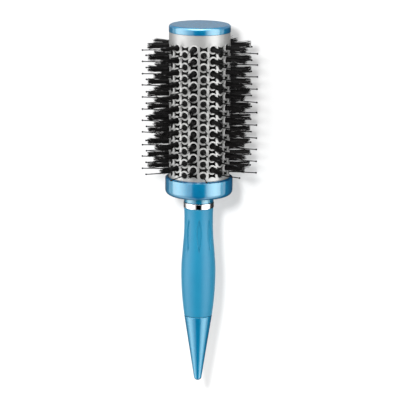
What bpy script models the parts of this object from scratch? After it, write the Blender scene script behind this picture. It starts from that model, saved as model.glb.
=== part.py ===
"""Round barrel brush, lying on its bristles.

The brush's axis is level, along X, with the end cap towards +X and the tail towards -X. The
origin is under the middle of the brush, level with the lowest pin tips. Along the axis every
size is a station: the distance from the end cap's flat face, back towards the tail.
"""

from math import cos, pi, radians, sin

import bmesh
import bpy
from mathutils import Matrix, Vector

MM = 0.001
GAP = 0.3 * MM  # left between pieces that touch

# Whole brush
LENGTH = 258.4 * MM
SEGMENTS = 24  # sides of a turned piece
COLUMNS = 20  # columns of bristles round the barrel, boar and pin columns in turn
COLUMN_ANGLE = 2 * pi / COLUMNS

# Barrel: a tube with one flat for each column
BARREL_RADIUS = 21.6 * MM
BARREL_BORE = 20.9 * MM
BARREL_FRONT = 5.1 * MM
BARREL_REAR = 115.6 * MM
ROWS = 11
ROW_PITCH = 8.46 * MM
FIRST_BOAR = 14.7 * MM
FIRST_PIN = FIRST_BOAR + ROW_PITCH / 2
HOLE_SIDES = 6
HOLE_RADIUS = 2.48 * MM
VENT_LENGTH = 2.4 * MM
VENT_WIDTH = 5.2 * MM

# Bristle strips: a backing bar inside the barrel, with tufts or pins out through the holes
BAR_WIDTH = 4.4 * MM
BAR_FOOT = 18.2 * MM
BAR_TOP = 20.3 * MM
BAR_FRONT = 12.4 * MM
BAR_REAR = 106.0 * MM
TUFT_ROOT = 2.6 * MM
TUFT_END = 4.2 * MM
TUFT_REACH = 37.0 * MM
PLUG_RADIUS = 2.1 * MM
PLUG_TOP = 21.8 * MM
PIN_WIDTH = 0.9 * MM
PIN_REACH = 41.3 * MM

# Inside the barrel
CORE_RADIUS = 17.9 * MM
CORE_BORE = 16.4 * MM
CORE_FRONT = 10.3 * MM
CORE_REAR = 113.8 * MM
BOLT_RADIUS = 2.0 * MM
BOLT_HOLE = 2.4 * MM
BOLT_REAR = 134.2 * MM

# Collar, neck and handle
COLLAR_RIM = 107.5 * MM
COLLAR_RADIUS = 23.75 * MM
COLLAR_BORE = 22.75 * MM
COLLAR_FLOOR = 116.6 * MM
NECK_RADIUS = 10.5 * MM
NECK_REAR = 126.0 * MM
RING_FRONT = NECK_REAR + GAP
RING_REAR = 130.0 * MM
RING_RADIUS = 10.65 * MM
GRIP_FRONT = RING_REAR + GAP
GRIP_REAR = 209.0 * MM
TAIL_FRONT = GRIP_REAR + GAP
HANDLE_BORE = 7.3 * MM
HANDLE_CORE_RADIUS = 7.0 * MM
HANDLE_CORE_BORE = 5.0 * MM
HANDLE_CORE_FRONT = 118.0 * MM

# The brush rests on the pins of the two lowest columns, each half a column from straight down
AXIS_HEIGHT = PIN_REACH * cos(COLUMN_ANGLE) + PIN_WIDTH / 2 * sin(COLUMN_ANGLE)


def clear_scene():
    for thing in list(bpy.data.objects):
        bpy.data.objects.remove(thing, do_unlink=True)


def material(name, colour, roughness, metallic=0.0):
    made = bpy.data.materials.new(name)
    made.use_nodes = True
    shader = made.node_tree.nodes["Principled BSDF"]
    shader.inputs["Base Color"].default_value = (*colour, 1.0)
    shader.inputs["Roughness"].default_value = roughness
    shader.inputs["Metallic"].default_value = metallic
    return made


def placed(name, mesh, finish, column_angle=0.0):
    """A named object on the brush's axis, turned about it by column_angle."""
    made = bpy.data.objects.new(name, mesh)
    made.location = (0, 0, AXIS_HEIGHT)
    made.rotation_euler = (column_angle, 0, 0)
    if not mesh.materials:
        mesh.materials.append(finish)
    bpy.context.scene.collection.objects.link(made)
    return made


def mesh_from(bm, name):
    bmesh.ops.recalc_face_normals(bm, faces=bm.faces)
    mesh = bpy.data.meshes.new(name)
    bm.to_mesh(mesh)
    bm.free()
    return mesh


def along(station):
    """Where a station lies on the X axis."""
    return LENGTH / 2 - station


def arc(centre, radius, start, end, steps):
    """Profile points (station, radius) on an arc; 0 degrees points out, 90 towards the cap."""
    points = []
    for step in range(steps + 1):
        angle = radians(start + (end - start) * step / steps)
        points.append((centre[0] - radius * sin(angle), centre[1] + radius * cos(angle)))
    return points


def turned(name, profile, finish):
    """A solid turned from a profile of (station, radius). A profile with its ends on the axis
    makes a solid without a bore, and any other profile is closed to make a ring or tube."""
    bm = bmesh.new()
    ring = [bm.verts.new((along(station), 0, radius)) for station, radius in profile]
    edges = [bm.edges.new(pair) for pair in zip(ring, ring[1:])]
    if profile[0][1] > 0:
        edges.append(bm.edges.new((ring[-1], ring[0])))
    bmesh.ops.spin(
        bm,
        geom=ring + edges,
        cent=(0, 0, 0),
        axis=(1, 0, 0),
        angle=2 * pi,
        steps=SEGMENTS,
        use_merge=True,
    )
    bmesh.ops.remove_doubles(bm, verts=bm.verts, dist=0.001 * MM)
    made = placed(name, mesh_from(bm, name), finish)
    made.data.shade_smooth()
    made.data.set_sharp_from_angle(angle=radians(35))
    return made


def prism(bm, sides, radius, end_radius, foot, top, station, phase=0.0):
    """A straight-sided bristle or cutter: a prism that stands up from the axis at a station."""
    made = bmesh.ops.create_cone(
        bm,
        cap_ends=True,
        segments=sides,
        radius1=radius,
        radius2=end_radius,
        depth=top - foot,
        matrix=Matrix.Translation((along(station), 0, (foot + top) / 2)) @ Matrix.Rotation(phase, 4, "Z"),
    )
    return made["verts"]


def box(bm, low, high):
    size = Vector(high) - Vector(low)
    middle = (Vector(high) + Vector(low)) / 2
    made = bmesh.ops.create_cube(bm, size=1.0, matrix=Matrix.LocRotScale(middle, None, size))
    return made["verts"]


def combined(mesh, other, operation):
    """The first mesh after a Boolean with the second, as a new mesh."""
    base = bpy.data.objects.new("base", mesh)
    tool = bpy.data.objects.new("tool", other)
    for thing in (base, tool):
        bpy.context.scene.collection.objects.link(thing)
    cut = base.modifiers.new("cut", "BOOLEAN")
    cut.operation = operation
    cut.object = tool
    cut.solver = "EXACT"
    view = bpy.context.evaluated_depsgraph_get()
    result = bpy.data.meshes.new_from_object(base.evaluated_get(view))
    result.name = mesh.name
    for thing in (base, tool):
        bpy.data.objects.remove(thing, do_unlink=True)
    return result


def row_stations(first):
    return [first + row * ROW_PITCH for row in range(ROWS)]


def barrel(finish):
    """The perforated tube. Each flat holds one column of holes with a vent between each two:
    on a pin column the rows are half a pitch behind the rows of a boar column."""
    bm = bmesh.new()
    rings = []
    for radius in (BARREL_RADIUS, BARREL_BORE):
        for station in (BARREL_FRONT, BARREL_REAR):
            ring = []
            for column in range(COLUMNS):
                angle = (column + 0.5) * COLUMN_ANGLE
                point = (along(station), -radius * sin(angle), radius * cos(angle))
                ring.append(bm.verts.new(point))
            rings.append(ring)
    outer_front, outer_rear, inner_front, inner_rear = rings
    walls = (
        (outer_front, outer_rear),
        (outer_rear, inner_rear),
        (inner_rear, inner_front),
        (inner_front, outer_front),
    )
    for first, second in walls:
        for column in range(COLUMNS):
            after = (column + 1) % COLUMNS
            bm.faces.new((first[column], first[after], second[after], second[column]))
    tube = mesh_from(bm, "barrel")

    bm = bmesh.new()
    inside, outside = BARREL_BORE - 2 * MM, BARREL_RADIUS + 2 * MM
    for column in range(COLUMNS):
        holes, vents = (FIRST_BOAR, FIRST_PIN) if column % 2 == 0 else (FIRST_PIN, FIRST_BOAR)
        cutters = []
        for station in row_stations(holes):
            cutters += prism(bm, HOLE_SIDES, HOLE_RADIUS, HOLE_RADIUS, inside, outside, station)
        for station in row_stations(vents):
            low = (along(station) - VENT_LENGTH / 2, -VENT_WIDTH / 2, inside)
            high = (along(station) + VENT_LENGTH / 2, VENT_WIDTH / 2, outside)
            cutters += box(bm, low, high)
        turn = Matrix.Rotation(column * COLUMN_ANGLE, 3, "X")
        bmesh.ops.rotate(bm, verts=cutters, cent=(0, 0, 0), matrix=turn)
    return placed("barrel", combined(tube, mesh_from(bm, "openings"), "DIFFERENCE"), finish)


def backing_bar():
    bm = bmesh.new()
    low = (along(BAR_REAR), -BAR_WIDTH / 2, BAR_FOOT)
    high = (along(BAR_FRONT), BAR_WIDTH / 2, BAR_TOP)
    box(bm, low, high)
    return mesh_from(bm, "strip")


def boar_strip_mesh():
    bm = bmesh.new()
    foot = BAR_TOP - 1 * MM
    to_corner = 2**-0.5
    for station in row_stations(FIRST_BOAR):
        root, end = TUFT_ROOT * to_corner, TUFT_END * to_corner
        prism(bm, 4, root, end, foot, TUFT_REACH, station, phase=pi / 4)
    return combined(backing_bar(), mesh_from(bm, "tufts"), "UNION")


def pin_strip_mesh():
    plugs, pins = bmesh.new(), bmesh.new()
    corner = PIN_WIDTH * 2**-0.5
    for station in row_stations(FIRST_PIN):
        prism(plugs, HOLE_SIDES, PLUG_RADIUS, PLUG_RADIUS, BAR_TOP - 1 * MM, PLUG_TOP, station)
        prism(pins, 4, corner, corner, PLUG_TOP - 1 * MM, PIN_REACH, station, phase=pi / 4)
    with_plugs = combined(backing_bar(), mesh_from(plugs, "plugs"), "UNION")
    return combined(with_plugs, mesh_from(pins, "pins"), "UNION")


def bristle_strips(boar, nylon):
    boar_mesh, pin_mesh = boar_strip_mesh(), pin_strip_mesh()
    for pair in range(COLUMNS // 2):
        angle = 2 * pair * COLUMN_ANGLE
        placed(f"boar_strip_{pair + 1:02d}", boar_mesh, boar, angle)
        placed(f"pin_strip_{pair + 1:02d}", pin_mesh, nylon, angle + COLUMN_ANGLE)


def end_cap(finish):
    """A disc with a rounded edge, and a skirt that presses into the barrel."""
    edge = 1.4 * MM
    rim = 21.6 * MM
    face = 4.8 * MM
    skirt_outer, skirt_inner, skirt_end = 20.3 * MM, 18.95 * MM, 9.8 * MM
    recess = 2.2 * MM
    profile = [(0, 0)]
    profile += arc((edge, rim - edge), edge, 90, 0, 3)
    profile += [(face, rim), (face, skirt_outer), (skirt_end, skirt_outer)]
    profile += [(skirt_end, skirt_inner), (recess, skirt_inner), (recess, 0)]
    return turned("end_cap", profile, finish)


def strip_ring(name, front, rear, finish):
    """A flat ring round the core tube that keeps the strips' ends in their places."""
    inner, outer = CORE_RADIUS + GAP, BAR_TOP
    return turned(name, [(front, inner), (front, outer), (rear, outer), (rear, inner)], finish)


def core_tube(finish):
    front, rear = CORE_FRONT, CORE_REAR
    profile = [(front, CORE_BORE), (front, CORE_RADIUS), (rear, CORE_RADIUS), (rear, CORE_BORE)]
    return turned("core_tube", profile, finish)


def core_plug(finish):
    """The plug in the core tube's front, with a flange that the bolt pulls back."""
    front, rear = 8.0 * MM, 14.5 * MM
    flange = 18.6 * MM
    shoulder = CORE_FRONT - GAP
    spigot = CORE_BORE - GAP
    profile = [(front, BOLT_HOLE), (front, flange), (shoulder, flange)]
    profile += [(shoulder, spigot), (rear, spigot), (rear, BOLT_HOLE)]
    return turned("core_plug", profile, finish)


def tie_bolt(finish):
    head_front, head_rear, head_radius = 3.6 * MM, 6.4 * MM, 3.6 * MM
    bevel = 0.6 * MM
    profile = [(head_front, 0), (head_front, head_radius - bevel)]
    profile += [(head_front + bevel, head_radius), (head_rear, head_radius)]
    profile += [(head_rear, BOLT_RADIUS), (BOLT_REAR, BOLT_RADIUS), (BOLT_REAR, 0)]
    return turned("tie_bolt", profile, finish)


def bolt_washer(finish):
    front, rear, radius = 6.7 * MM, 7.7 * MM, 5.0 * MM
    hole = BOLT_RADIUS + GAP
    profile = [(front, hole), (front, radius), (rear, radius), (rear, hole)]
    return turned("bolt_washer", profile, finish)


def collar(finish):
    """A cup round the barrel's rear end, a ring inside it for the core tube, and the neck."""
    boss_front = 109.1 * MM
    boss, boss_bore = CORE_BORE - GAP, 12.6 * MM
    corner = 3.75 * MM
    corner_station = 117.0 * MM
    profile = [(COLLAR_FLOOR, COLLAR_BORE), (COLLAR_RIM, COLLAR_BORE)]
    profile += [(COLLAR_RIM, COLLAR_RADIUS - 0.3 * MM), (COLLAR_RIM + 0.3 * MM, COLLAR_RADIUS)]
    profile += arc((corner_station, COLLAR_RADIUS - corner), corner, 0, -80, 5)
    profile += [(121.9 * MM, 12.8 * MM), (122.7 * MM, 11.2 * MM), (123.9 * MM, NECK_RADIUS)]
    profile += [(NECK_REAR, NECK_RADIUS)]
    profile += [(NECK_REAR, HANDLE_BORE), (HANDLE_CORE_FRONT - GAP, HANDLE_BORE)]
    profile += [(HANDLE_CORE_FRONT - GAP, BOLT_HOLE), (COLLAR_FLOOR, BOLT_HOLE)]
    profile += [(COLLAR_FLOOR, boss_bore), (boss_front, boss_bore)]
    profile += [(boss_front, boss), (COLLAR_FLOOR, boss)]
    return turned("collar", profile, finish)


def neck_ring(finish):
    edge = 0.5 * MM
    profile = [(RING_REAR, HANDLE_BORE), (RING_FRONT, HANDLE_BORE)]
    profile += arc((RING_FRONT + edge, RING_RADIUS - edge), edge, 90, 0, 2)
    profile += arc((RING_REAR - edge, RING_RADIUS - edge), edge, 0, -90, 2)
    return turned("neck_ring", profile, finish)


def handle_core(finish):
    front, rear = HANDLE_CORE_FRONT, GRIP_REAR
    inner, outer = HANDLE_CORE_BORE, HANDLE_CORE_RADIUS
    return turned("handle_core", [(front, inner), (front, outer), (rear, outer), (rear, inner)], finish)


def threaded_insert(finish):
    front, rear = HANDLE_CORE_FRONT + GAP, BOLT_REAR - 2 * MM
    inner, outer = BOLT_RADIUS + GAP, HANDLE_CORE_BORE - GAP
    return turned("threaded_insert", [(front, inner), (front, outer), (rear, outer), (rear, inner)], finish)


def grip_radius(station):
    """The grip's outline: slim behind the ring, a belly two thirds of the way down, then in
    towards the tail cone."""
    slim, belly, tail = 10.15 * MM, 12.2 * MM, 9.95 * MM
    slim_at, belly_at = 135.5 * MM, 177 * MM
    if station < slim_at:
        return slim + 0.3 * MM * ((slim_at - station) / (slim_at - GRIP_FRONT)) ** 2
    if station < belly_at:
        rise = (station - slim_at) / (belly_at - slim_at)
        return slim + (belly - slim) * (rise * rise * (3 - 2 * rise)) ** 1.5
    fall = (station - belly_at) / (GRIP_REAR - belly_at)
    return belly - (belly - tail) * fall**2


def grip(finish):
    """The soft sleeve over the handle core."""
    rounds = 12
    step = (GRIP_REAR - GRIP_FRONT) / rounds
    profile = [(GRIP_REAR, HANDLE_BORE), (GRIP_FRONT, HANDLE_BORE)]
    for count in range(rounds + 1):
        station = GRIP_FRONT + count * step
        profile.append((station, grip_radius(station)))
    return turned("grip", profile, finish)


def tail_cone(finish):
    """The sectioning tip: a slim cone with a rounded point and a spigot for the handle core."""
    root, point, tip = 9.9 * MM, 2.8 * MM, 2.75 * MM
    cone_rear = 255.1 * MM
    spigot, spigot_front = HANDLE_CORE_BORE - GAP, 197 * MM
    profile = [(spigot_front, 0), (spigot_front, spigot), (TAIL_FRONT, spigot)]
    profile += [(TAIL_FRONT, root), (cone_rear, point)]
    for angle in (30, 60):
        turn = radians(angle)
        profile.append((LENGTH - tip + tip * sin(turn), tip * cos(turn)))
    profile.append((LENGTH, 0))
    return turned("tail_cone", profile, finish)


def build():
    clear_scene()
    blue = material("blue_gloss", (0.02, 0.26, 0.55), 0.18, 0.6)
    silver = material("barrel_silver", (0.72, 0.72, 0.71), 0.35, 1.0)
    boar = material("boar_bristle", (0.015, 0.014, 0.013), 0.6)
    nylon = material("nylon_pin", (0.012, 0.012, 0.013), 0.4)
    chrome = material("chrome", (0.85, 0.86, 0.88), 0.08, 1.0)
    soft_blue = material("soft_touch_blue", (0.03, 0.30, 0.52), 0.6)
    black = material("core_black", (0.02, 0.02, 0.02), 0.5)
    steel = material("bolt_steel", (0.5, 0.5, 0.52), 0.35, 1.0)
    brass = material("insert_brass", (0.72, 0.5, 0.2), 0.35, 1.0)

    end_cap(blue)
    barrel(silver)
    bristle_strips(boar, nylon)
    strip_ring("strip_ring_front", CORE_FRONT, BAR_FRONT - GAP, black)
    strip_ring("strip_ring_rear", BAR_REAR + GAP, BAR_REAR + 2.3 * MM, black)
    core_tube(black)
    core_plug(black)
    tie_bolt(steel)
    bolt_washer(steel)
    collar(blue)
    neck_ring(chrome)
    handle_core(black)
    threaded_insert(brass)
    grip(soft_blue)
    tail_cone(blue)


build()
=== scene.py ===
"""Looks of the round barrel brush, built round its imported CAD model.

The brush lies along X, end cap towards +X. As in the part, sizes along the axis are stations:
the distance from the end cap's flat face. Angles round the axis are measured from straight up,
turning towards -Y.
"""

import random
from math import ceil, cos, hypot, pi, radians, sin, sqrt, tan

import bmesh
import bpy
from mathutils import Matrix, Vector
from mathutils.geometry import delaunay_2d_cdt


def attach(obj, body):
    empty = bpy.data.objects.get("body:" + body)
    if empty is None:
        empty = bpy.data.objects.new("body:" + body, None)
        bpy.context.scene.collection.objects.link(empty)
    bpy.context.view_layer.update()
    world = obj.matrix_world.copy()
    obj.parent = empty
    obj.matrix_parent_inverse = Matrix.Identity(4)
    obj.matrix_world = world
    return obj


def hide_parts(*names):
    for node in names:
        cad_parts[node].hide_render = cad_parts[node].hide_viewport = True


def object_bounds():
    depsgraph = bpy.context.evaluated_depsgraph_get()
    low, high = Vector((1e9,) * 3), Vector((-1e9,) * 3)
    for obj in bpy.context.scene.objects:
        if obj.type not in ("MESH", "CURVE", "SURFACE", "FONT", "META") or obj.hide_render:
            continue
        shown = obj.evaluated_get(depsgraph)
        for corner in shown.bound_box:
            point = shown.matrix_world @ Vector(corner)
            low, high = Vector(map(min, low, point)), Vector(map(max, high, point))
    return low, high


MM = 0.001

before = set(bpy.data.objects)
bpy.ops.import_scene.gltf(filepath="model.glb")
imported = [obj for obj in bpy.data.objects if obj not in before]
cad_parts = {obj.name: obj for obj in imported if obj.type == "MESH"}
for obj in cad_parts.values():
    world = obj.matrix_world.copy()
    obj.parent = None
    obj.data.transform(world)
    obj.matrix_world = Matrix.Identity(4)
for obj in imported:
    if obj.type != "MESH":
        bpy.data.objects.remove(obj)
cad_low, cad_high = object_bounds()

FRONT = cad_high.x
LENGTH = cad_high.x - cad_low.x
AXIS_HEIGHT = (cad_low.z + cad_high.z) / 2
ROUND = 160  # sides of a turned piece
SAME_PLACE = 1e-7  # points closer than this are one point

# Barrel
COLUMNS = 20
COLUMN_ANGLE = 2 * pi / COLUMNS
ROWS = 11
ROW_PITCH = 8.46 * MM
FIRST_BOAR = 14.7 * MM  # station of the first row of tufts
FIRST_PIN = FIRST_BOAR + ROW_PITCH / 2  # station of the first row of pins
BARREL_RADIUS = 21.35 * MM
BARREL_WALL = 0.6 * MM
BARREL_FRONT = 5.2 * MM
BARREL_REAR = 115.6 * MM
COLUMN_HALF = BARREL_RADIUS * COLUMN_ANGLE / 2  # half a column's width, laid flat
ACROSS_STEPS = 8  # mesh steps across a column's ends
ALONG_STEPS = 120  # mesh steps along a column's sides
ROW_MARGIN = 3.2 * MM  # from the middle of the first or last row to the plain band past it
BAND_STEP = 1.2 * MM  # mesh step along the plain bands
HOLE_SIDES = 24
# rings round a hole: distance from its centre, height over the barrel's surface
LIP = [
    (2.22 * MM, -0.15 * MM),
    (2.24 * MM, 0.05 * MM),
    (2.33 * MM, 0.16 * MM),
    (2.47 * MM, 0.15 * MM),
    (2.60 * MM, 0.05 * MM),
    (2.70 * MM, 0.0),
]
# a triangle that fills part of a hole has its middle within this share of the hole's radius
HOLE_SHARE = 0.985

# Bristles, with heights over the axis
TUFT_ROOT = 19.9 * MM
TUFT_REACH = 36.8 * MM
TUFT_LEAN = 0.45 * MM  # of a tuft's tips, along and across
TUFT_TRIM = 0.3 * MM  # difference between the reach of one tuft and the next
HAIRS = 66  # in a tuft
# how far out along its hairs, and the tuft's radius there
TUFT_SHAPE = [(0.0, 2.05 * MM), (0.10, 1.65 * MM), (0.45, 1.5 * MM), (0.75, 1.75 * MM), (1.0, 2.15 * MM)]
HAIR_TAPER = (1.0, 1.0, 0.95, 0.85, 0.55)  # a hair's radius at those places, as a share of its own
HAIR_RADIUS = (0.15 * MM, 0.19 * MM)  # thinnest and thickest
HAIR_BOW = 0.22 * MM  # bend at a hair's middle
HAIR_WANDER, STRAY_WANDER = 0.38 * MM, 1.0 * MM  # of a hair's tip, along and across
HAIR_TRIM, STRAY_TRIM = 1.1 * MM, 3 * MM  # how much shorter a hair is than its tuft
STRAY_OUT = 0.5 * MM  # how much longer a stray hair was before it was trimmed
STRAYS = 0.08  # share of the hairs that stray from their tuft
# height over the axis and radius of the plug that holds a pin
PLUG = [
    (19.5 * MM, 2.12 * MM),
    (21.1 * MM, 2.12 * MM),
    (21.35 * MM, 1.95 * MM),
    (21.5 * MM, 1.5 * MM),
    (21.6 * MM, 0.8 * MM),
]
PIN_BASE = 21.4 * MM
PIN_REACH = 41.3 * MM
PIN_RADIUS = 0.36 * MM
# how far out along the pin, and its radius there as a share of PIN_RADIUS
PIN_SHAPE = [(0.0, 1.3), (0.3, 1.1), (0.6, 1.0), (0.85, 0.95), (1.0, 0.95)]
PIN_LEAN_ALONG, PIN_LEAN_ACROSS = 0.45 * MM, 0.3 * MM
PIN_LEAN_LIMIT = 0.33 * MM  # most that a tip leans across, so that the lowest clear the floor
BALL_RADIUS = 0.65 * MM
BOAR_SEED, PIN_SEED = 100, 500

# Grip
GRIP_FRONT, GRIP_REAR = 130.3 * MM, 209.0 * MM
GRIP_SIDES = 400
GROOVES = 8
GROOVE_TURN = radians(13.2)  # place of the first groove, round the axis
GROOVE_FRONT, GROOVE_REAR = 137.4 * MM, 161.8 * MM
GROOVE_HALF_WIDTH = 1.9 * MM
GROOVE_DEPTH = 0.9 * MM
GROOVE_EDGE = 0.45 * MM  # width of a groove's rounded side

# Camera
CAMERA_TURN = radians(10.4)
CAMERA_RISE = radians(13.0)
CAMERA_ROLL = radians(0.37)
CAMERA_DISTANCE = 1.45
CAMERA_LENS = 184.4
CAMERA_AIM_RIGHT = 0.9 * MM
CAMERA_AIM_UP = 3.9 * MM

# Floor
FLOOR_REACH = 6.0  # from its middle to its edges
FLOOR_GREY = 0.60
DARK_CARDS_REACH, GREY_CARDS_REACH = 140 * MM, 600 * MM  # to either side of the brush

# Light round the brush, for the glossy surfaces: angle from straight up (positive towards -Y)
# and brightness
SKY = [
    (-140, 0.5),
    (-95, 2.45),
    (-81, 3.25),
    (-63, 3.6),
    (-46, 2.7),
    (-31, 1.45),
    (-16, 0.98),
    (-10, 0.12),
    (-4, 0.0),
    (27, 0.0),
    (32, 0.4),
    (38, 1.85),
    (52, 3.5),
    (69, 4.1),
    (86, 3.25),
    (100, 1.65),
    (140, 0.5),
]
SKY_PEAK = 6.0
END_BOX = 6.0  # brightness of the box off the cap end
TAIL_LEVEL = 0.45  # share of the boxes' brightness that is left at their tail end
FILL_OVER, FILL_BESIDE = 0.9, 2.2  # soft light for the matt surfaces, from above and the sides
BACKDROP = 0.86  # what the camera sees past the floor
# Where those lights change, by how much of the unit vector towards the light points at the
# cap end (for END_BOX_START, END_BOX_FULL and TAIL_) or to either side (for the others)
END_BOX_START, END_BOX_FULL = 0.10, 0.30
END_BOX_SIDE_END, END_BOX_SIDE_FULL = 0.60, 0.35
TAIL_DIM, TAIL_FULL = -0.65, -0.25
FILL_OVER_END, FILL_BESIDE_FULL = 0.2, 0.8

# Lamp that throws the shadow
KEY_POWER = 12.0
KEY_SIZE = 0.17
KEY_PLACE = Vector((0.441, 0.0, 1.176))

# a Mix node's sockets when it mixes colours
MIX_FIRST, MIX_SECOND, MIX_RESULT = 6, 7, 2


# ---------------------------------------------------------------- geometry helpers


def along(station):
    """The X of a station."""
    return FRONT - station


def on_axis(station, radius, angle):
    """A point at a station, a radius from the axis and an angle round it."""
    return (along(station), -radius * sin(angle), AXIS_HEIGHT + radius * cos(angle))


def spaced(start, end, count):
    """The ends of a stretch and the points between them, in equal steps."""
    return [start + (end - start) * step / count for step in range(count + 1)]


def arc(centre, radius, start, end, steps):
    """Profile points on an arc; 0 degrees points out from the axis, 90 towards the cap."""
    points = []
    for angle in spaced(start, end, steps):
        turn = radians(angle)
        points.append((centre[0] - radius * sin(turn), centre[1] + radius * cos(turn)))
    return points


def mesh_object(name, verts, faces, materials, face_slots=None, sharp=35):
    """A smooth-shaded object on the brush, with edges over `sharp` degrees kept sharp."""
    mesh = bpy.data.meshes.new(name)
    mesh.from_pydata(verts, [], faces)
    mesh.validate()
    for material in materials:
        mesh.materials.append(material)
    if face_slots:
        mesh.polygons.foreach_set("material_index", face_slots)
    mesh.shade_smooth()
    mesh.set_sharp_from_angle(angle=radians(sharp))
    made = bpy.data.objects.new(name, mesh)
    bpy.context.scene.collection.objects.link(made)
    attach(made, "root")
    return made


def turned(name, profile, finish, closed=True):
    """A smooth solid turned from (station, radius) points, ordered so that it faces out."""
    verts, rings = [], []
    for station, radius in profile:
        if radius == 0:
            rings.append([len(verts)])
            verts.append(on_axis(station, 0, 0))
            continue
        rings.append(list(range(len(verts), len(verts) + ROUND)))
        verts += [on_axis(station, radius, 2 * pi * side / ROUND) for side in range(ROUND)]
    pairs = list(zip(rings, rings[1:]))
    if closed:
        pairs.append((rings[-1], rings[0]))
    faces = []
    for first, second in pairs:
        for side in range(ROUND):
            after = (side + 1) % ROUND
            if len(first) == 1:
                faces.append((first[0], second[after], second[side]))
            elif len(second) == 1:
                faces.append((first[side], first[after], second[0]))
            else:
                faces.append((first[side], first[after], second[after], second[side]))
    return mesh_object(name, verts, faces, [finish])


# ---------------------------------------------------------------- node helpers


def grey(level):
    return (level, level, level)


class Graph:
    """The nodes of a material or a world, with short ways to add to them."""

    def __init__(self, owner):
        owner.use_nodes = True
        self.nodes = owner.node_tree.nodes
        self.links = owner.node_tree.links

    def ramp(self, source, stops):
        """A colour ramp over a value, with stops of (place, colour)."""
        made = self.nodes.new("ShaderNodeValToRGB")
        elements = made.color_ramp.elements
        while len(elements) < len(stops):
            elements.new(0.5)
        for element, (place, colour) in zip(elements, stops):
            element.position = place
            element.color = (*colour, 1.0)
        self.links.new(source, made.inputs["Fac"])
        return made.outputs["Color"]

    def dot(self, vector, direction):
        """The part of a vector that points in a direction."""
        made = self.nodes.new("ShaderNodeVectorMath")
        made.operation = "DOT_PRODUCT"
        made.inputs[1].default_value = direction
        self.links.new(vector, made.inputs[0])
        return made.outputs["Value"]

    def math(self, operation, *values):
        """A sum or other operation on the outputs of other nodes."""
        made = self.nodes.new("ShaderNodeMath")
        made.operation = operation
        for socket, value in zip(made.inputs, values):
            self.links.new(value, socket)
        return made.outputs["Value"]

    def map_range(self, value, start, end, low=0.0, high=1.0, interpolation="SMOOTHSTEP"):
        """Goes from low to high as the value goes from start to end."""
        made = self.nodes.new("ShaderNodeMapRange")
        made.interpolation_type = interpolation
        made.inputs["From Min"].default_value = start
        made.inputs["From Max"].default_value = end
        made.inputs["To Min"].default_value = low
        made.inputs["To Max"].default_value = high
        self.links.new(value, made.inputs["Value"])
        return made.outputs["Result"]

    def mix_shaders(self, factor, first, second):
        """The first shader where the factor is 0, the second where it is 1."""
        made = self.nodes.new("ShaderNodeMixShader")
        self.links.new(factor, made.inputs["Fac"])
        self.links.new(first, made.inputs[1])
        self.links.new(second, made.inputs[2])
        return made.outputs["Shader"]


class Finish(Graph):
    """A new material, with textures that vary its Principled shader."""

    def __init__(self, name):
        self.material = bpy.data.materials.new(name)
        super().__init__(self.material)
        self.shader = self.nodes["Principled BSDF"]

    def noise(self, scale, detail=3.0, stretch=(1, 1, 1)):
        """A noise texture in the object's own metres, stretched by scaling its coordinates."""
        place = self.nodes.new("ShaderNodeTexCoord")
        mapping = self.nodes.new("ShaderNodeMapping")
        mapping.inputs["Scale"].default_value = stretch
        texture = self.nodes.new("ShaderNodeTexNoise")
        texture.inputs["Scale"].default_value = scale
        texture.inputs["Detail"].default_value = detail
        self.links.new(place.outputs["Object"], mapping.inputs["Vector"])
        self.links.new(mapping.outputs["Vector"], texture.inputs["Vector"])
        return texture.outputs["Fac"]

    def set(self, socket, value):
        """One value for a shader socket, the same all over the surface."""
        self.shader.inputs[socket].default_value = value

    def vary(self, socket, source, stops):
        """Lets a shader socket follow a texture, through stops of (place, colour)."""
        self.links.new(self.ramp(source, stops), self.shader.inputs[socket])

    def bump(self, source, strength, distance):
        """Fine relief on the surface, where the texture is high and low."""
        made = self.nodes.new("ShaderNodeBump")
        made.inputs["Strength"].default_value = strength
        made.inputs["Distance"].default_value = distance
        self.links.new(source, made.inputs["Height"])
        self.links.new(made.outputs["Normal"], self.shader.inputs["Normal"])


# ---------------------------------------------------------------- materials


def metallic_blue(name, dark, pale):
    """Blue metallic lacquer: fine flake under a deep clear coat."""
    finish = Finish(name)
    flake = finish.noise(5200, detail=2.0)
    cloud = finish.noise(60)
    finish.vary("Base Color", flake, [(0.35, dark), (0.65, pale)])
    finish.vary("Roughness", cloud, [(0.3, grey(0.47)), (0.7, grey(0.52))])
    finish.bump(flake, 0.05, 0.02 * MM)
    finish.set("Metallic", 0.4)
    finish.set("IOR", 2.75)
    finish.set("Specular Tint", (0.0, 1.0, 0.70, 1.0))
    finish.set("Coat Weight", 1.0)
    finish.set("Coat IOR", 2.0)
    finish.set("Coat Roughness", 0.07)
    return finish.material


def satin_silver():
    """The barrel's satin metal, with fine lines round it left by polishing."""
    finish = Finish("satin_silver")
    lines = finish.noise(30, detail=4.0, stretch=(160, 6, 6))
    cloud = finish.noise(90)
    finish.vary("Base Color", cloud, [(0.3, (0.295, 0.295, 0.29)), (0.7, (0.335, 0.335, 0.33))])
    finish.vary("Roughness", lines, [(0.3, grey(0.27)), (0.7, grey(0.34))])
    finish.bump(lines, 0.05, 0.02 * MM)
    finish.set("Metallic", 0.44)
    return finish.material


def boar_hair():
    """Black boar bristle, paler in patches along the hairs: partly the hairs' own tone, partly a painted
    sheen.
    """
    finish = Finish("boar_hair")
    tone_and_sheen_patches = finish.noise(900, detail=2.0)
    # paler base colour in the patches: partly the hairs' own tone, partly a painted sheen along the hairs
    finish.vary("Base Color", tone_and_sheen_patches, [(0.4, grey(0.001)), (0.75, (0.012, 0.011, 0.011))])
    finish.vary("Roughness", tone_and_sheen_patches, [(0.3, grey(0.45)), (0.7, grey(0.65))])
    finish.set("Specular IOR Level", 0.13)
    return finish.material


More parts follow.
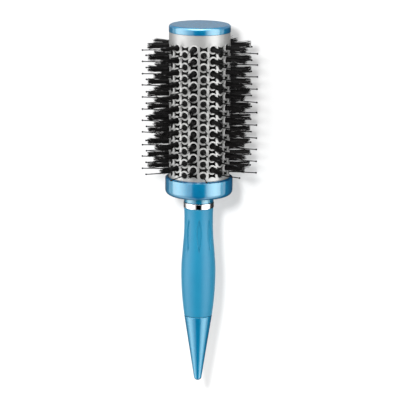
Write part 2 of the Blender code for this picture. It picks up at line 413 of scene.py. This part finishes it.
def black_plastic(name, dark, pale, roughness, gloss):
    """Moulded black plastic with a fine spark-eroded grain."""
    finish = Finish(name)
    grain = finish.noise(2600)
    finish.vary("Base Color", grain, [(0.3, grey(dark)), (0.7, grey(pale))])
    finish.vary("Roughness", grain, [(0.3, grey(roughness - 0.05)), (0.7, grey(roughness + 0.05))])
    finish.bump(grain, 0.15, 0.03 * MM)
    finish.set("Specular IOR Level", gloss)
    return finish.material


def bright_metal(name, colour, roughness, line_scale):
    """Plated or machined metal with faint wear in its polish."""
    finish = Finish(name)
    wear = finish.noise(line_scale, detail=4.0, stretch=(6, 1, 1))
    darker = tuple(0.93 * part for part in colour)
    finish.vary("Base Color", wear, [(0.35, darker), (0.65, colour)])
    finish.vary("Roughness", wear, [(0.3, grey(roughness)), (0.75, grey(roughness + 0.06))])
    finish.set("Metallic", 1.0)
    return finish.material


def soft_touch_blue():
    """Matte rubbery coating: a fine powdery grain over blue."""
    finish = Finish("soft_touch_blue")
    grain = finish.noise(3800, detail=4.0)
    cloud = finish.noise(70)
    finish.vary("Base Color", cloud, [(0.3, (0.001, 0.130, 0.232)), (0.7, (0.002, 0.144, 0.251))])
    finish.vary("Roughness", grain, [(0.3, grey(0.34)), (0.7, grey(0.40))])
    finish.bump(grain, 0.15, 0.03 * MM)
    finish.set("Specular IOR Level", 0.42)
    finish.set("Sheen Weight", 0.32)
    finish.set("Sheen Roughness", 0.35)
    finish.set("Sheen Tint", (0.55, 0.85, 1.0, 1.0))
    return finish.material


# ---------------------------------------------------------------- turned pieces


def end_cap(finish):
    """The disc with its rounded edge, and the skirt inside the barrel."""
    edge, rim = 1.7 * MM, 21.5 * MM
    inner_ring, outer_ring = 4 * MM, rim - edge - 0.4 * MM
    face, skirt_end = 5.15 * MM, 9.8 * MM
    skirt_outer, skirt_inner = 20.3 * MM, 18.95 * MM
    recess = 2.2 * MM
    low_edge = 0.3 * MM
    profile = [(0, 0)]
    profile += [(0, radius) for radius in spaced(inner_ring, outer_ring, 4)]
    profile += arc((edge, rim - edge), edge, 90, 0, 12)
    profile += arc((face - low_edge, rim - low_edge), low_edge, 0, -90, 4)
    profile += [(face, skirt_outer), (skirt_end, skirt_outer)]
    profile += [(skirt_end, skirt_inner), (recess, skirt_inner), (recess, 0)]
    made = turned("end_cap_shell", profile, finish, closed=False)
    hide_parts("end_cap")


def collar(finish):
    """The cup at the barrel's rear end, with its neck. The face of its rim slants, and `slant`
    is the direction that it looks in, measured as in arc()."""
    rim, radius, bore = 107.5 * MM, 23.75 * MM, 21.8 * MM
    lip, slant = 0.25 * MM, 62
    slant_end = rim + lip + (radius - bore - 2 * lip) / tan(radians(slant))
    corner, corner_station = 3.75 * MM, 117.0 * MM
    fillet, fillet_end = 2.6 * MM, 123.9 * MM
    neck, neck_rear, chamfer = 10.45 * MM, 126.0 * MM, 0.2 * MM
    seat, handle_bore, bolt_hole = 117.7 * MM, 7.3 * MM, 2.4 * MM
    floor, boss_front, boss, boss_bore = 116.6 * MM, 109.1 * MM, 16.1 * MM, 12.6 * MM
    profile = [(floor, bore)]
    profile += arc((rim + lip, bore + lip), lip, 180, slant, 6)
    profile += arc((slant_end, radius - lip), lip, slant, 0, 5)
    profile += arc((corner_station, radius - corner), corner, 0, -80, 16)
    for turn in spaced(radians(10), radians(90), 10):
        profile.append((fillet_end - fillet * cos(turn), neck + fillet * (1 - sin(turn))))
    profile += [(neck_rear - chamfer, neck), (neck_rear, neck - chamfer)]
    profile += [(neck_rear, handle_bore), (seat, handle_bore), (seat, bolt_hole), (floor, bolt_hole)]
    profile += [(floor, boss_bore), (boss_front, boss_bore), (boss_front, boss), (floor, boss)]
    made = turned("collar_shell", profile, finish)
    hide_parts("collar")


def neck_ring(finish):
    """The bright ring between the collar and the grip."""
    front, rear = 126.3 * MM, 130.0 * MM
    radius, bore, edge = 10.65 * MM, 7.3 * MM, 0.2 * MM
    profile = [(rear, bore), (front, bore)]
    profile += arc((front + edge, radius - edge), edge, 90, 0, 8)
    profile += arc((rear - edge, radius - edge), edge, 0, -90, 8)
    made = turned("chrome_ring", profile, finish)
    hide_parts("neck_ring")


def tail_cone(finish):
    """The pointed end, with the spigot that holds it in the handle."""
    front, root, tip = 209.3 * MM, 9.9 * MM, 2.75 * MM
    spigot, spigot_front, edge = 4.7 * MM, 197 * MM, 0.15 * MM
    tip_centre = LENGTH - tip
    cone_end = tip_centre - 0.4 * MM
    slope = 0.155  # radius lost for each millimetre along the cone
    profile = [(spigot_front, 0), (spigot_front, spigot), (front, spigot), (front, root - edge)]
    for station in spaced(front + edge, cone_end, 40):
        profile.append((station, tip + slope * (tip_centre - station)))
    for turn in spaced(radians(4), radians(84), 14):
        profile.append((tip_centre + tip * sin(turn), tip * cos(turn)))
    profile.append((LENGTH, 0))
    made = turned("tail_cone_shell", profile, finish, closed=False)
    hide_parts("tail_cone")


# ---------------------------------------------------------------- grip


def grip_radius(station):
    """Flared a little at the ring, slim behind it, and full where the hand holds it."""
    slim, belly, tail, flare = 10.15 * MM, 12.2 * MM, 9.95 * MM, 0.3 * MM
    slim_at, belly_at = 135.5 * MM, 177 * MM
    if station < slim_at:
        return slim + flare * ((slim_at - station) / (slim_at - GRIP_FRONT)) ** 2
    if station < belly_at:
        rise = (station - slim_at) / (belly_at - slim_at)
        return slim + (belly - slim) * (rise * rise * (3 - 2 * rise)) ** 1.5
    fall = (station - belly_at) / (GRIP_REAR - belly_at)
    return belly - (belly - tail) * fall**2


def groove_depth(station, angle, radius):
    """Depth of the leaf-shaped grooves that run down the grip behind the ring. A groove is
    widest a little ahead of its middle."""
    if not GROOVE_FRONT < station < GROOVE_REAR:
        return 0.0
    step = 2 * pi / GROOVES
    turn = (angle - GROOVE_TURN + step / 2) % step - step / 2
    run = (station - GROOVE_FRONT) / (GROOVE_REAR - GROOVE_FRONT)
    half_width = GROOVE_HALF_WIDTH * sin(pi * run**0.85)
    inside = (half_width - abs(turn) * radius) / GROOVE_EDGE
    inside = min(max(inside, 0.0), 1.0)
    return GROOVE_DEPTH * inside * inside * (3 - 2 * inside)


def grip(finish):
    """The soft sleeve, with its leaf-shaped grooves cut into the mesh."""
    bore, front_edge, rear_edge = 7.3 * MM, 0.3 * MM, 0.1 * MM
    grooves_end = GROOVE_REAR + 1 * MM
    stations = spaced(GRIP_FRONT + front_edge, GROOVE_FRONT, 12)
    stations += spaced(GROOVE_FRONT, grooves_end, 100)[1:]
    stations += spaced(grooves_end, GRIP_REAR - rear_edge, 60)[1:]
    outline = [(GRIP_REAR, bore), (GRIP_FRONT, bore)]
    outline.append((GRIP_FRONT, grip_radius(GRIP_FRONT) - front_edge))
    outline += [(station, grip_radius(station)) for station in stations]
    outline.append((GRIP_REAR, grip_radius(GRIP_REAR) - rear_edge))
    verts, faces = [], []
    for station, radius in outline:
        for side in range(GRIP_SIDES):
            angle = 2 * pi * side / GRIP_SIDES
            verts.append(on_axis(station, radius - groove_depth(station, angle, radius), angle))
    for ring in range(len(outline)):
        first = ring * GRIP_SIDES
        second = ((ring + 1) % len(outline)) * GRIP_SIDES
        for side in range(GRIP_SIDES):
            after = (side + 1) % GRIP_SIDES
            faces.append((first + side, first + after, second + after, second + side))
    made = mesh_object("soft_grip", verts, faces, [finish], sharp=50)
    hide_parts("grip")


# ---------------------------------------------------------------- barrel


def row_stations(first):
    """The stations of a column's rows of holes."""
    return [first + row * ROW_PITCH for row in range(ROWS)]


def column_border():
    """The edge of one column laid flat, as (station, across) points."""
    border = [(BARREL_FRONT, across) for across in spaced(-COLUMN_HALF, COLUMN_HALF, ACROSS_STEPS)]
    stations = spaced(BARREL_FRONT, BARREL_REAR, ALONG_STEPS)
    border += [(station, COLUMN_HALF) for station in stations[1:]]
    border += [(BARREL_REAR, across) for across in spaced(COLUMN_HALF, -COLUMN_HALF, ACROSS_STEPS)[1:]]
    stations = spaced(BARREL_REAR, BARREL_FRONT, ALONG_STEPS)
    border += [(station, -COLUMN_HALF) for station in stations[1:-1]]
    return border


def circle(station, radius):
    """Points round a hole, as (station, across)."""
    points = []
    for side in range(HOLE_SIDES):
        angle = 2 * pi * side / HOLE_SIDES
        points.append((station + radius * cos(angle), radius * sin(angle)))
    return points


def vent_outline():
    """A bow-tie: its long sides curve round the holes before and behind it, and its ends
    round the holes in the next columns. Points are (along, across) from its middle."""
    hole_gap, side_gap, waist = 3.35 * MM, 4.15 * MM, 2.0 * MM
    corner = [(1.68, 2.16), (1.82, 2.32), (1.84, 2.50), (1.72, 2.66), (1.45, 2.72)]
    beside = 2 * BARREL_RADIUS * sin(COLUMN_ANGLE / 2)
    quarter = []
    for across in spaced(0, waist, 5):
        quarter.append((ROW_PITCH / 2 - sqrt(hole_gap**2 - across**2), across))
    quarter += [(first * MM, second * MM) for first, second in corner]
    for lengthways in (1.0 * MM, 0.5 * MM, 0.0):
        quarter.append((lengthways, beside - sqrt(side_gap**2 - lengthways**2)))
    half = quarter + [(-first, second) for first, second in reversed(quarter[:-1])]
    return half + [(first, -second) for first, second in reversed(half[1:-1])]


def band_points(first_row, last_row):
    """Loose points on the plain bands before and behind the rows, which keep them round."""
    front_band_end, rear_band_start = first_row - ROW_MARGIN, last_row + ROW_MARGIN
    front_steps = ceil((front_band_end - BARREL_FRONT) / BAND_STEP)
    rear_steps = ceil((BARREL_REAR - rear_band_start) / BAND_STEP)
    stations = spaced(BARREL_FRONT, front_band_end, front_steps)[1:]
    stations += spaced(rear_band_start, BARREL_REAR, rear_steps)[1:-1]
    places_across = spaced(-COLUMN_HALF, COLUMN_HALF, ACROSS_STEPS)[1:-1]
    return [(station, across) for station in stations for across in places_across]


def in_vent(x, y, outline):
    """Whether a point lies in a vent with its middle at 0, by counting the sides past it."""
    half_length, half_width = 2 * MM, 3 * MM  # of a box round the vent
    if abs(x) > half_length or abs(y) > half_width:
        return False
    inside = False
    for (ax, ay), (bx, by) in zip(outline, outline[1:] + outline[:1]):
        if (ay > y) != (by > y) and x < ax + (bx - ax) * (y - ay) / (by - ay):
            inside = not inside
    return inside


def column_layout(holes, vents):
    """One column of the barrel laid flat: triangles between its edges, holes and vents.
    Returns points (station, across, height), triangles, and the loops that are open edges."""
    points, heights, edges = [], [], []

    def add_loop(loop, height=0.0):
        first, count = len(points), len(loop)
        points.extend(Vector(point) for point in loop)
        heights.extend([height] * count)
        edges.extend((first + step, first + (step + 1) % count) for step in range(count))
        return list(range(first, first + count))

    add_loop(column_border())
    open_loops = []
    for station in holes:
        rings = [add_loop(circle(station, radius), height) for radius, height in LIP]
        open_loops.append(rings[0])
    outline = vent_outline()
    for station in vents:
        open_loops.append(add_loop([(station + first, second) for first, second in outline]))
    for point in band_points(min(holes[0], vents[0]), max(holes[-1], vents[-1])):
        points.append(Vector(point))
        heights.append(0.0)
    laid, _, triangles, origins = delaunay_2d_cdt(points, edges, [], 0, SAME_PLACE)[:4]

    def fills_opening(triangle):
        x, y = sum((laid[corner] for corner in triangle), Vector((0, 0))) / 3
        if any(hypot(x - station, y) < LIP[0][0] * HOLE_SHARE for station in holes):
            return True
        return any(in_vent(x - station, y, outline) for station in vents)

    kept = [tuple(triangle) for triangle in triangles if not fills_opening(triangle)]
    index = {}
    for place, sources in enumerate(origins):
        for source in sources:
            index[source] = place
    openings = [[index[source] for source in loop] for loop in open_loops]
    laid_heights = [heights[sources[0]] if sources else 0.0 for sources in origins]
    laid_points = [(point.x, point.y, height) for point, height in zip(laid, laid_heights)]
    return laid_points, kept, openings


def wall_faces(outer, inner, path):
    """Faces through the barrel's wall, along a path of points."""
    return [(outer[a], outer[b], inner[b], inner[a]) for a, b in zip(path, path[1:])]


def barrel(finish):
    """The perforated tube: round holes with raised lips, and bow-tie vents."""
    boar_rows, pin_rows = row_stations(FIRST_BOAR), row_stations(FIRST_PIN)
    layouts = (column_layout(boar_rows, pin_rows), column_layout(pin_rows, boar_rows))
    verts, faces, seams = [], [], {}

    def vertex(station, across, height, column, inner):
        """Adds a point of the tube, or finds it if the next column has it already."""
        angle = column * COLUMN_ANGLE + across / BARREL_RADIUS
        radius = BARREL_RADIUS - BARREL_WALL if inner else BARREL_RADIUS + height
        if abs(abs(across) - COLUMN_HALF) < SAME_PLACE:
            seam = (column + (1 if across > 0 else 0)) % COLUMNS
            key = (seam, round(station, 6), inner)
            if key in seams:
                return seams[key]
            seams[key] = len(verts)
        verts.append(on_axis(station, radius, angle))
        return len(verts) - 1

    for column in range(COLUMNS):
        points, triangles, openings = layouts[column % 2]
        outer = [vertex(*point, column, False) for point in points]
        inner = [vertex(*point, column, True) for point in points]
        for a, b, c in triangles:
            faces.append((outer[a], outer[c], outer[b]))
            faces.append((inner[a], inner[b], inner[c]))
        for loop in openings:
            faces += wall_faces(outer, inner, loop + loop[:1])
        for end in (BARREL_FRONT, BARREL_REAR):
            rim = [place for place, point in enumerate(points) if abs(point[0] - end) < SAME_PLACE]
            rim.sort(key=lambda place: points[place][1])
            faces += wall_faces(outer, inner, rim)
    made = mesh_object("barrel_shell", verts, faces, [finish], sharp=50)
    bm = bmesh.new()
    bm.from_mesh(made.data)
    bmesh.ops.recalc_face_normals(bm, faces=bm.faces)
    bm.to_mesh(made.data)
    bm.free()
    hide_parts("barrel")


# ---------------------------------------------------------------- bristles


def column_frame(column):
    """A function that places a point of a column by its station, its distance across the
    column, and its height over the axis."""
    angle = column * COLUMN_ANGLE
    out = Vector((0, -sin(angle), cos(angle)))
    side = Vector((0, -cos(angle), -sin(angle)))
    axis = Vector((0, 0, AXIS_HEIGHT))

    def place(station, across, height):
        return axis + Vector((along(station), 0, 0)) + height * out + across * side

    return place


def add_tube(verts, faces, path, radii, sides, phase=0.0):
    """A tube along a short path of points, closed at both ends."""
    rings = []
    for count, (point, radius) in enumerate(zip(path, radii)):
        ahead = path[min(count + 1, len(path) - 1)] - path[max(count - 1, 0)]
        ahead.normalize()
        sideways = ahead.cross(Vector((1, 0, 0)))
        if sideways.length < 0.1:
            sideways = ahead.cross(Vector((0, 1, 0)))
        sideways.normalize()
        other = ahead.cross(sideways)
        ring = []
        for side in range(sides):
            angle = 2 * pi * side / sides + phase
            ring.append(len(verts))
            verts.append(point + radius * (cos(angle) * sideways + sin(angle) * other))
        rings.append(ring)
    for first, second in zip(rings, rings[1:]):
        for side in range(sides):
            after = (side + 1) % sides
            faces.append((first[side], first[after], second[after], second[side]))
    faces.append(tuple(rings[-1]))
    faces.append(tuple(reversed(rings[0])))


def add_bar(verts, faces, place):
    """The strip's backing bar, inside the barrel."""
    half, foot, top = 2.2 * MM, 18.2 * MM, 20.3 * MM
    front, rear = 12.4 * MM, 106.0 * MM
    first = len(verts)
    for station in (front, rear):
        for height, across in ((foot, -half), (foot, half), (top, half), (top, -half)):
            verts.append(place(station, across, height))
    a, b, c, d, e, f, g, h = range(first, first + 8)  # four corners in front, four behind
    faces += [(a, b, c, d), (h, g, f, e), (a, e, f, b), (b, f, g, c), (c, g, h, d), (d, h, e, a)]


def add_hair(verts, faces, place, station, draw, lean, reach):
    """One bristle of a tuft. A stray one wanders further, and is often shorter."""
    spread, turn = sqrt(draw.random()), draw.uniform(0, 2 * pi)
    stray = draw.random() < STRAYS
    wander = STRAY_WANDER if stray else HAIR_WANDER
    drift = (lean[0] + draw.gauss(0, wander), lean[1] + draw.gauss(0, wander))
    short = abs(draw.gauss(0, HAIR_TRIM)) + (draw.uniform(0, STRAY_TRIM) if stray else 0)
    height = reach - short + (STRAY_OUT if stray else 0)
    bow = (draw.gauss(0, HAIR_BOW), draw.gauss(0, HAIR_BOW))
    thick = draw.uniform(*HAIR_RADIUS)
    path = []
    for run, bundle in TUFT_SHAPE:
        ease, bulge = run**1.4, sin(pi * run)
        hair_station = station + bundle * (spread * cos(turn)) + drift[0] * ease + bow[0] * bulge
        across = bundle * (spread * sin(turn)) + drift[1] * ease + bow[1] * bulge
        path.append(place(hair_station, across, TUFT_ROOT + (height - TUFT_ROOT) * run))
    add_tube(verts, faces, path, [thick * share for share in HAIR_TAPER], 3, phase=turn)


def add_tuft(verts, faces, place, station, draw):
    """One bundle of bristles: tight in its hole, a little spread at the tips."""
    lean = (draw.gauss(0, TUFT_LEAN), draw.gauss(0, TUFT_LEAN))
    reach = TUFT_REACH - abs(draw.gauss(0, TUFT_TRIM))
    for _ in range(HAIRS):
        add_hair(verts, faces, place, station, draw, lean, reach)


def boar_strips(hair, bar):
    for pair in range(COLUMNS // 2):
        column = 2 * pair
        draw = random.Random(BOAR_SEED + column)
        verts, faces = [], []
        place = column_frame(column)
        add_bar(verts, faces, place)
        bar_faces = len(faces)
        for station in row_stations(FIRST_BOAR):
            add_tuft(verts, faces, place, station, draw)
        slots = [1] * bar_faces + [0] * (len(faces) - bar_faces)
        made = mesh_object(f"boar_tufts_{pair + 1:02d}", verts, faces, [hair, bar], slots, sharp=80)
        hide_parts(f"boar_strip_{pair + 1:02d}")


def add_pin(verts, faces, place, station, draw):
    """A round plug in its hole, and a thin pin with a ball tip."""
    plug = [place(station, 0, height) for height, _ in PLUG]
    add_tube(verts, faces, plug, [radius for _, radius in PLUG], 20)
    lean_along, lean_across = draw.gauss(0, PIN_LEAN_ALONG), draw.gauss(0, PIN_LEAN_ACROSS)
    lean_across = min(max(lean_across, -PIN_LEAN_LIMIT), PIN_LEAN_LIMIT)
    top = PIN_REACH - BALL_RADIUS
    shaft = []
    for run, _ in PIN_SHAPE:
        ease = run**1.5
        height = PIN_BASE + (top - PIN_BASE) * run
        shaft.append(place(station + lean_along * ease, lean_across * ease, height))
    add_tube(verts, faces, shaft, [PIN_RADIUS * share for _, share in PIN_SHAPE], 8)
    ball, radii = [], []
    for angle in spaced(-80, 84, 8):
        turn = radians(angle)
        ball.append(place(station + lean_along, lean_across, top + BALL_RADIUS * sin(turn)))
        radii.append(BALL_RADIUS * cos(turn))
    add_tube(verts, faces, ball, radii, 12)


def pin_strips(nylon):
    for pair in range(COLUMNS // 2):
        column = 2 * pair + 1
        draw = random.Random(PIN_SEED + column)
        verts, faces = [], []
        place = column_frame(column)
        add_bar(verts, faces, place)
        for station in row_stations(FIRST_PIN):
            add_pin(verts, faces, place, station, draw)
        made = mesh_object(f"pin_row_{pair + 1:02d}", verts, faces, [nylon], sharp=50)
        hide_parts(f"pin_strip_{pair + 1:02d}")


# ---------------------------------------------------------------- inner CAD pieces


def finish_inner_pieces(black):
    """Materials for the pieces inside, whose CAD meshes stay."""
    steel = bright_metal("bolt_steel", (0.52, 0.52, 0.54), roughness=0.30, line_scale=400)
    brass = bright_metal("insert_brass", (0.70, 0.48, 0.19), roughness=0.28, line_scale=400)
    finishes = {
        "core_tube": black,
        "core_plug": black,
        "strip_ring_front": black,
        "strip_ring_rear": black,
        "handle_core": black,
        "tie_bolt": steel,
        "bolt_washer": steel,
        "threaded_insert": brass,
    }
    for node, finish in finishes.items():
        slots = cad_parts[node].data.materials
        if not slots:
            slots.append(finish)
        for count in range(len(slots)):
            slots[count] = finish


# ---------------------------------------------------------------- studio


def camera():
    """Looks down on the brush, turned a little round its axis and raised towards its cap."""
    turn, rise, roll = CAMERA_TURN, CAMERA_RISE, CAMERA_ROLL
    back = Vector((sin(rise), -cos(rise) * sin(turn), cos(rise) * cos(turn)))
    straight_up = (Vector((1, 0, 0)) - back.x * back).normalized()
    straight_right = straight_up.cross(back)
    up = cos(roll) * straight_up - sin(roll) * straight_right
    right = up.cross(back)
    target = Vector((0.0, 0.0, AXIS_HEIGHT)) + CAMERA_AIM_RIGHT * right + CAMERA_AIM_UP * up
    data = bpy.data.cameras.new("camera")
    data.lens = CAMERA_LENS
    data.sensor_width = 36
    data.clip_end = 50
    made = bpy.data.objects.new("camera", data)
    rotation = Matrix((right, up, back)).transposed().to_4x4()
    made.matrix_world = Matrix.Translation(target + CAMERA_DISTANCE * back) @ rotation
    bpy.context.scene.collection.objects.link(made)
    bpy.context.scene.camera = made


def sheet(name, low, high, height, colour):
    """A matt sheet of the studio, lying level between two opposite corners."""
    mesh = bpy.data.meshes.new(name)
    corners = [(low[0], low[1]), (high[0], low[1]), (high[0], high[1]), (low[0], high[1])]
    mesh.from_pydata([(x, y, height) for x, y in corners], [], [(0, 1, 2, 3)])
    finish = Finish(name)
    finish.set("Base Color", (*colour, 1))
    finish.set("Roughness", 0.9)
    finish.set("Specular IOR Level", 0.0)
    mesh.materials.append(finish.material)
    placed = bpy.data.objects.new(name, mesh)
    bpy.context.scene.collection.objects.link(placed)
    return placed


def only_in_reflections(card):
    """Hides a card from everything but glossy rays."""
    card.visible_camera = False
    card.visible_diffuse = False
    card.visible_transmission = False
    card.visible_volume_scatter = False
    card.visible_shadow = False


def studio_floor():
    """The floor, and matt cards on it that only the reflections show: a dark pair under the
    brush, a grey pair beside them, and a cool grey one off the cap end."""
    size, near, far = FLOOR_REACH, DARK_CARDS_REACH, GREY_CARDS_REACH
    cap_side = FRONT - 0.5 * MM
    floor_height, grey_height, dark_height = -0.05 * MM, 0.05 * MM, 0.1 * MM
    sheet("floor", (-size, -size), (size, size), floor_height, grey(FLOOR_GREY))
    cards = [
        sheet("left_grey_card", (-size, 0.0), (cap_side, far), grey_height, grey(0.45)),
        sheet("right_grey_card", (-size, -far), (cap_side, 0.0), grey_height, grey(0.55)),
        sheet("left_dark_card", (-size, 0.0), (cap_side, near), dark_height, grey(0.075)),
        sheet("right_dark_card", (-size, -near), (cap_side, 0.0), dark_height, grey(0.02)),
        sheet("cap_end_card", (cap_side, -size), (size, size), dark_height, (0.215, 0.245, 0.29)),
    ]
    for card in cards:
        only_in_reflections(card)


def soft_boxes(graph, over, beside, lengthways):
    """What the glossy surfaces mirror: long soft boxes beside a dark strip over the brush,
    dimmer at its tail, and a box off its cap end. The ramp can't pass 1, so the brightness is
    shared between it and the background's strength."""
    angle = graph.math("ARCTAN2", beside, over)
    round_brush = graph.map_range(angle, -pi, pi, interpolation="LINEAR")
    stops = [(0.5 + turn / 360, grey(level / SKY_PEAK)) for turn, level in SKY]
    towards_cap = graph.map_range(lengthways, END_BOX_START, END_BOX_FULL)
    between_sides = graph.map_range(graph.math("ABSOLUTE", beside), END_BOX_SIDE_END, END_BOX_SIDE_FULL)
    mixed = graph.nodes.new("ShaderNodeMix")
    mixed.data_type = "RGBA"
    graph.links.new(graph.math("MULTIPLY", towards_cap, between_sides), mixed.inputs["Factor"])
    graph.links.new(graph.ramp(round_brush, stops), mixed.inputs[MIX_FIRST])
    mixed.inputs[MIX_SECOND].default_value = (*grey(END_BOX / SKY_PEAK), 1.0)
    background = graph.nodes["Background"]
    strength = graph.map_range(lengthways, TAIL_DIM, TAIL_FULL, TAIL_LEVEL * SKY_PEAK, SKY_PEAK)
    graph.links.new(mixed.outputs[MIX_RESULT], background.inputs["Color"])
    graph.links.new(strength, background.inputs["Strength"])
    return background.outputs["Background"]


def soft_fill(graph, beside):
    """White light for the matt surfaces, stronger from the sides than from above."""
    background = graph.nodes.new("ShaderNodeBackground")
    background.inputs["Color"].default_value = (1.0, 1.0, 1.0, 1.0)
    to_side = graph.math("ABSOLUTE", beside)
    strength = graph.map_range(to_side, FILL_OVER_END, FILL_BESIDE_FULL, FILL_OVER, FILL_BESIDE)
    graph.links.new(strength, background.inputs["Strength"])
    return background.outputs["Background"]


def studio_world():
    """Soft boxes for the glossy surfaces, a fill for the matt ones, and a plain backdrop."""
    world = bpy.data.worlds.new("studio")
    graph = Graph(world)
    direction = graph.nodes.new("ShaderNodeTexCoord").outputs["Generated"]
    over = graph.dot(direction, (0, 0, 1))
    beside = graph.dot(direction, (0, -1, 0))
    lengthways = graph.dot(direction, (1, 0, 0))
    boxes = soft_boxes(graph, over, beside, lengthways)
    fill = soft_fill(graph, beside)
    plain = graph.nodes.new("ShaderNodeBackground")
    plain.inputs["Color"].default_value = (*grey(BACKDROP), 1.0)
    rays = graph.nodes.new("ShaderNodeLightPath")
    light = graph.mix_shaders(rays.outputs["Is Glossy Ray"], fill, boxes)
    seen = graph.mix_shaders(rays.outputs["Is Camera Ray"], light, plain.outputs["Background"])
    graph.links.new(seen, graph.nodes["World Output"].inputs["Surface"])
    bpy.context.scene.world = world


def key_light():
    """A small round lamp high over the cap end, which throws the drop shadow."""
    data = bpy.data.lights.new("key", "AREA")
    data.shape = "DISK"
    data.size = KEY_SIZE
    data.energy = KEY_POWER
    made = bpy.data.objects.new("key", data)
    made.location = KEY_PLACE
    made.rotation_mode = "QUATERNION"
    made.rotation_quaternion = KEY_PLACE.to_track_quat("Z", "Y")
    made.visible_glossy = False
    bpy.context.scene.collection.objects.link(made)


def build():
    """Makes every piece, then the studio and the camera."""
    blue = metallic_blue("metallic_blue_lacquer", dark=(0.001, 0.048, 0.200), pale=(0.003, 0.060, 0.240))
    cone_blue = metallic_blue("cone_blue_lacquer", dark=(0.001, 0.094, 0.275), pale=(0.003, 0.108, 0.305))
    black = black_plastic("core_black", dark=0.001, pale=0.002, roughness=0.6, gloss=0.02)
    nylon = black_plastic("pin_nylon", dark=0.002, pale=0.004, roughness=0.45, gloss=0.1)
    end_cap(blue)
    barrel(satin_silver())
    boar_strips(boar_hair(), black)
    pin_strips(nylon)
    collar(blue)
    neck_ring(bright_metal("ring_chrome", (0.88, 0.89, 0.90), roughness=0.02, line_scale=500))
    grip(soft_touch_blue())
    tail_cone(cone_blue)
    finish_inner_pieces(black)
    studio_floor()
    studio_world()
    key_light()
    camera()
    bpy.context.scene.view_settings.view_transform = "Standard"


build()
